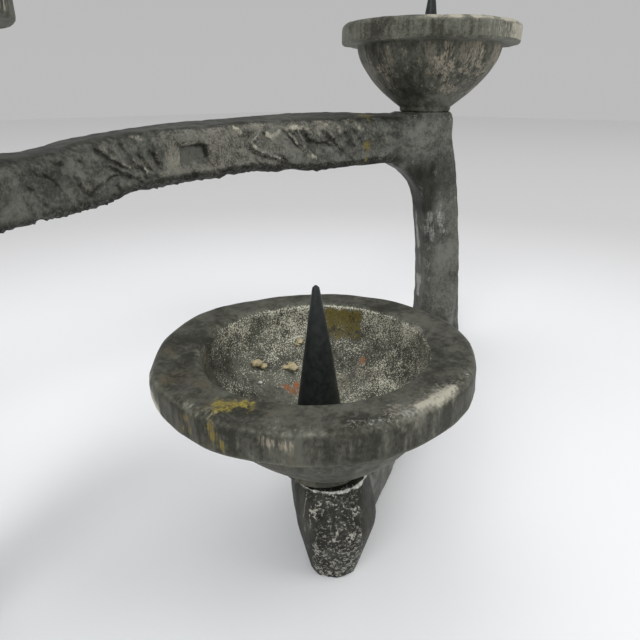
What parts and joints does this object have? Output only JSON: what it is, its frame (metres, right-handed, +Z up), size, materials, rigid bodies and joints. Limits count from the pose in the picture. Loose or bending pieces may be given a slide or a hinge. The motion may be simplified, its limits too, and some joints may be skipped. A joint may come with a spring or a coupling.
{
  "type": "candlestick",
  "caption": "Low sculptural cast-iron candlestick: a bowed beam on splayed legs with a floor arm, carrying deep broad-rimmed cups with spikes for pillar candles.",
  "frame": {"origin": "on the table top, under the middle of the outline seen from above", "axes": "+X along the line between the high cups towards the leg that the floor arm joins, +Y towards the side the beam bows to, away from the low cup, +Z up"},
  "size_m": [0.288, 0.1439, 0.1615],
  "materials": {
    "frame_iron": "rough dark patina, worn bright on high spots",
    "cup_iron": "smooth dark patina, sandy inside the bowl",
    "spike_steel": "blackened, satin",
    "washer_steel": "blackened, dull"
  },
  "bodies": {
    "root": {"frame_casting": "frame_iron", "low_cup": "cup_iron", "right_cup": "cup_iron", "left_cup": "cup_iron", "low_spike": "spike_steel", "right_spike": "spike_steel", "left_spike": "spike_steel", "low_washer": "washer_steel", "right_washer": "washer_steel", "left_washer": "washer_steel"}
  },
  "joints": []
}
